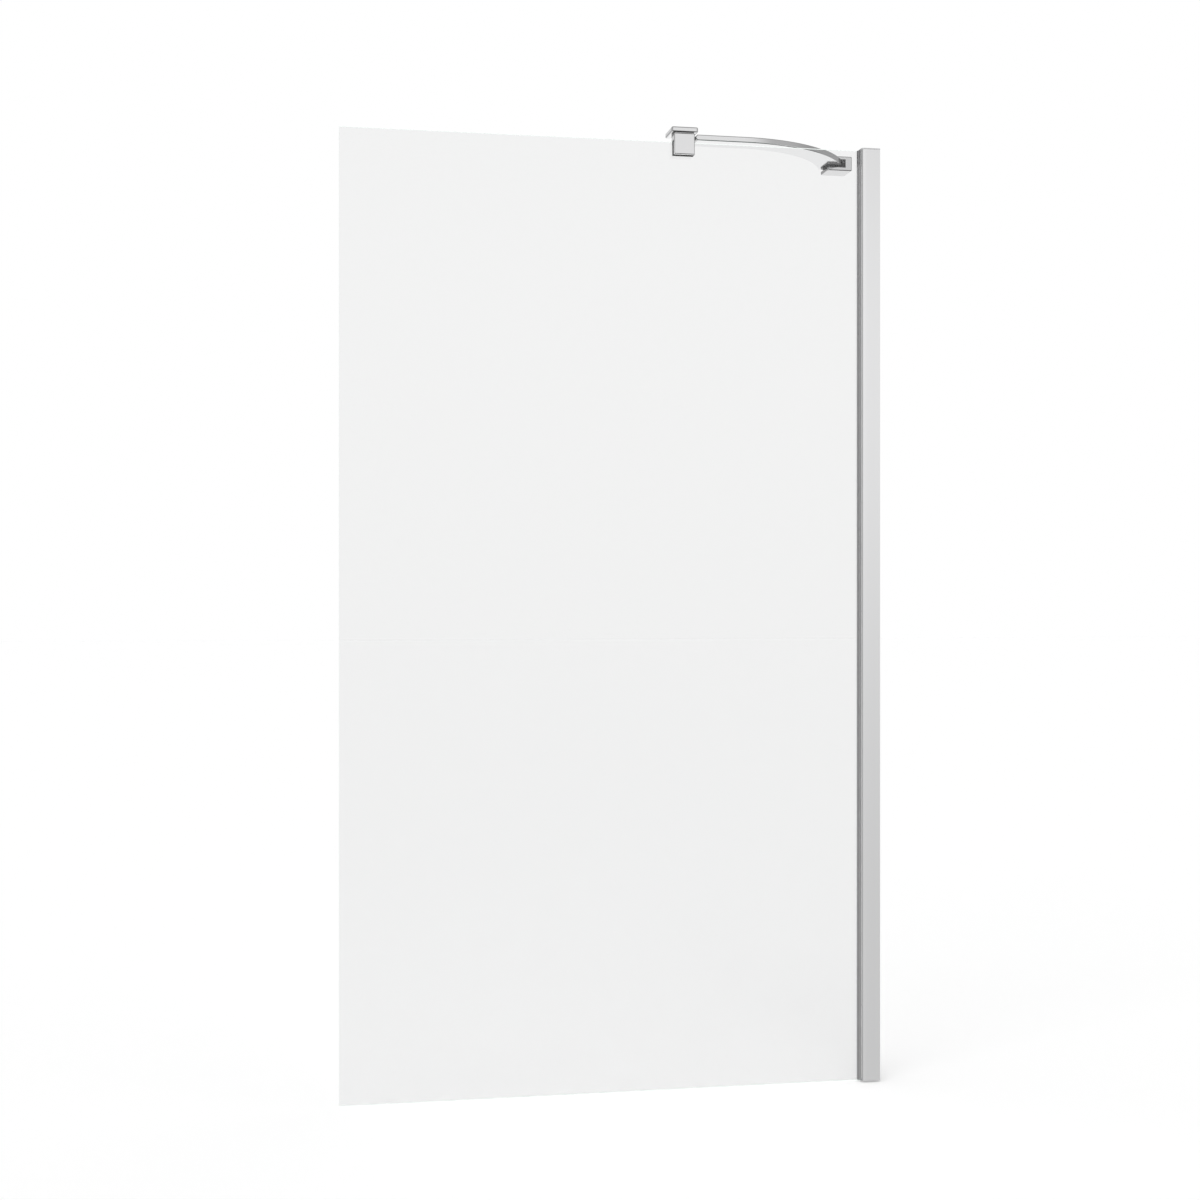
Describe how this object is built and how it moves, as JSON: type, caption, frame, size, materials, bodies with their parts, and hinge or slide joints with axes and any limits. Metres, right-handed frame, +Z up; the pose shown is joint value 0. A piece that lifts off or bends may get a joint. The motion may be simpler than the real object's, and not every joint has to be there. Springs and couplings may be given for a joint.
{
  "type": "shower screen panel",
  "caption": "Fixed clear glass bath screen with an adjustable aluminium wall profile, a glass clamp and a curved chrome support arm to a wall bracket.",
  "frame": {"origin": "on the wall plane, at the foot of the wall channel, in the middle plane of the glass", "axes": "+X into the wall, +Y from the room side of the glass to the bath side, +Z up"},
  "size_m": [0.805, 0.176, 1.4213],
  "materials": {
    "clear_glass": "clear toughened safety glass with ground edges",
    "bright_aluminium": "bright anodised extrusion with fine lengthwise lines",
    "mill_aluminium": "plain mill finish",
    "polished_chrome": "polished chrome plating",
    "stainless_steel": "turned stainless steel",
    "black_rubber": "matte black rubber",
    "grey_gasket": "soft grey gasket",
    "grey_plastic": "satin grey moulding",
    "black_plastic": "black acetal",
    "white_nylon": "natural white nylon"
  },
  "bodies": {
    "wall_fittings": {"wall_channel": "mill_aluminium", "wall_bracket": "polished_chrome", "bracket_base_plate": "stainless_steel", "bracket_grub_screw": "stainless_steel", "bracket_pivot_pin": "stainless_steel", "bracket_washers": "black_plastic", "support_arm": "polished_chrome", "clamp_body": "polished_chrome", "clamp_cap": "polished_chrome", "clamp_pivot_screw": "stainless_steel", "clamp_washers": "white_nylon", "clamp_front_pad": "black_rubber"},
    "glazed_panel": {"glass_panel": "clear_glass", "cover_profile": "bright_aluminium", "front_glazing_gasket": "grey_gasket", "rear_glazing_gasket": "grey_gasket", "setting_blocks": "white_nylon", "top_end_cap": "grey_plastic", "lock_screws": "stainless_steel", "lock_nuts": "stainless_steel", "lock_screw_caps": "grey_plastic"},
    "clamp_rear_jaw": {"clamp_pressure_plate": "stainless_steel", "clamp_rear_pad": "black_rubber", "clamp_grub_screws": "stainless_steel"}
  },
  "joints": [
    {"name": "width_adjust", "type": "slide", "parent": "wall_fittings", "child": "glazed_panel", "axis": [-1, 0, 0], "range_m": [0, 0.012]},
    {"name": "clamp_release", "type": "slide", "parent": "wall_fittings", "child": "clamp_rear_jaw", "axis": [0, 1, 0], "range_m": [0, 0.002]}
  ]
}
